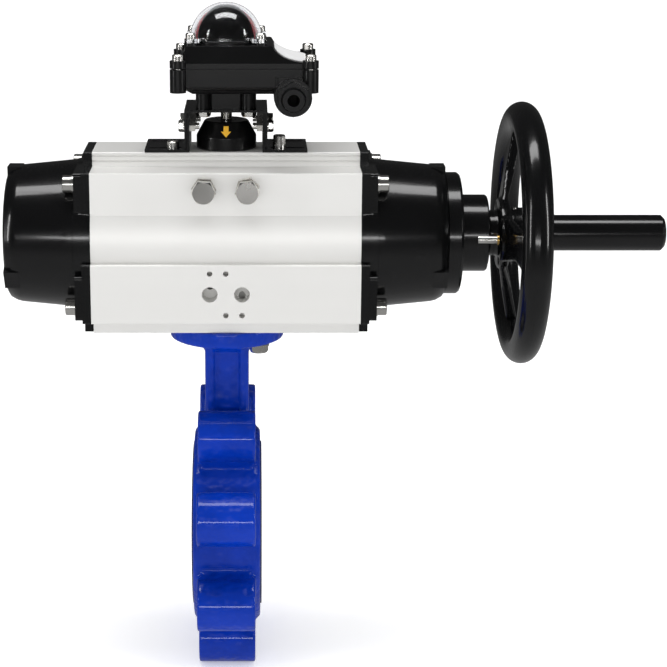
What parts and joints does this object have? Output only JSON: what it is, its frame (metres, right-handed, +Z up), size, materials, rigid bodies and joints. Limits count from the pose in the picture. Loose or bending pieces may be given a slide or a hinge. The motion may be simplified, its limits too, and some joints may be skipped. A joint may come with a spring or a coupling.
{
  "type": "rotary pneumatic actuator",
  "caption": "Rack-and-pinion rotary pneumatic actuator with limit switch box and handwheel override, driving a lugged butterfly valve.",
  "frame": {"origin": "valve centre, where the pipe axis crosses the stem axis, at the middle of the lug bolt circle", "axes": "+X along the pipe and piston axes towards the handwheel, +Y away from the air port face, +Z up the stem towards the switch box"},
  "size_m": [0.503, 0.2072, 0.5176],
  "materials": {
    "blue_epoxy": "thick gloss blue epoxy coat over cast iron",
    "black_rubber": "satin rubber",
    "bronze": "turned bronze",
    "polymer_bush": "matt bearing polymer",
    "anodised_body": "satin silver anodised extrusion",
    "piston_alloy": "machined die casting",
    "black_casting": "smooth black powder coat",
    "black_steel": "semi-gloss black coated steel sheet",
    "stainless": "bright stainless steel",
    "dark_steel": "oiled machined steel",
    "brass": "turned brass",
    "black_plastic": "semi-gloss moulded black",
    "clear_plastic": "clear moulded polycarbonate",
    "red_plastic": "gloss moulded red",
    "yellow_plastic": "gloss yellow",
    "grey_plastic": "matt moulded dark grey",
    "label_white": "blank satin white label"
  },
  "bodies": {
    "housing": {"valve_body": "blue_epoxy", "valve_neck": "blue_epoxy", "valve_seat": "black_rubber", "stem_bushes": "bronze", "shaft_seals": "black_rubber", "flange_bolts": "stainless", "cylinder_body": "anodised_body", "left_end_cap": "black_casting", "right_end_cap": "black_casting", "end_cap_screws": "stainless", "end_cap_seals": "black_rubber", "stop_bolts": "stainless", "stop_nuts": "stainless", "pinion_bushes": "polymer_bush", "left_springs": "dark_steel", "right_springs": "dark_steel", "override_adapter": "black_casting", "adapter_screws": "stainless", "override_neck": "black_casting", "thrust_bearing": "stainless", "lock_pin": "stainless", "lock_pin_collar": "brass", "bracket_top": "black_steel", "bracket_left_foot": "black_steel", "bracket_right_foot": "black_steel", "bracket_bolts": "stainless", "foot_screws": "stainless", "switch_base": "black_plastic", "switch_cover": "black_plastic", "switch_gasket": "black_rubber", "cover_screws": "stainless", "beacon_dome": "clear_plastic", "beacon_shield": "black_plastic", "dome_screws": "stainless", "switch_mount_screws": "stainless", "cable_gland": "black_plastic", "conduit_plug": "black_plastic", "micro_switches": "grey_plastic", "label_plate": "label_white"},
    "drive_train": {"pinion": "dark_steel", "stop_cam": "dark_steel", "valve_stem": "stainless", "valve_disc": "stainless", "indicator_hat": "black_plastic", "hat_arrow": "yellow_plastic", "switch_shaft": "stainless", "switch_cams": "red_plastic", "beacon_red": "red_plastic", "beacon_yellow": "yellow_plastic"},
    "left_piston": {"left_piston": "piston_alloy", "left_piston_rings": "bronze"},
    "right_piston": {"right_piston": "piston_alloy", "right_piston_rings": "bronze", "spindle_retainer": "stainless"},
    "spindle": {"spindle": "stainless"},
    "handwheel": {"handwheel_rim": "black_casting", "handwheel_spider": "black_casting", "spindle_nut": "brass", "cover_tube": "black_casting", "hub_screws": "stainless"}
  },
  "joints": [
    {"name": "handwheel_turn", "type": "hinge", "parent": "housing", "child": "handwheel", "pos_m": [0, 0, 0.2375], "axis": [1, 0, 0], "range_deg": [0, 2827.43]},
    {"name": "pinion_turn", "type": "hinge", "parent": "housing", "child": "drive_train", "pos_m": [0, 0, 0], "axis": [0, 0, 1], "range_deg": [0, 90.1]},
    {"name": "left_piston_slide", "type": "slide", "parent": "housing", "child": "left_piston", "axis": [-1, 0, 0], "range_m": [0, 0.03146], "deforming": ["left_springs"]},
    {"name": "right_piston_slide", "type": "slide", "parent": "housing", "child": "right_piston", "axis": [1, 0, 0], "range_m": [0, 0.03146], "deforming": ["right_springs"]},
    {"name": "spindle_slide", "type": "slide", "parent": "housing", "child": "spindle", "axis": [1, 0, 0], "range_m": [0, 0.03146]}
  ],
  "couplings": [
    {"joint": "pinion_turn", "follows": "handwheel_turn", "ratio": 0.031831},
    {"joint": "left_piston_slide", "follows": "handwheel_turn", "m_per_rad": 0.00063662},
    {"joint": "right_piston_slide", "follows": "handwheel_turn", "m_per_rad": 0.00063662},
    {"joint": "spindle_slide", "follows": "handwheel_turn", "m_per_rad": 0.00063662}
  ]
}
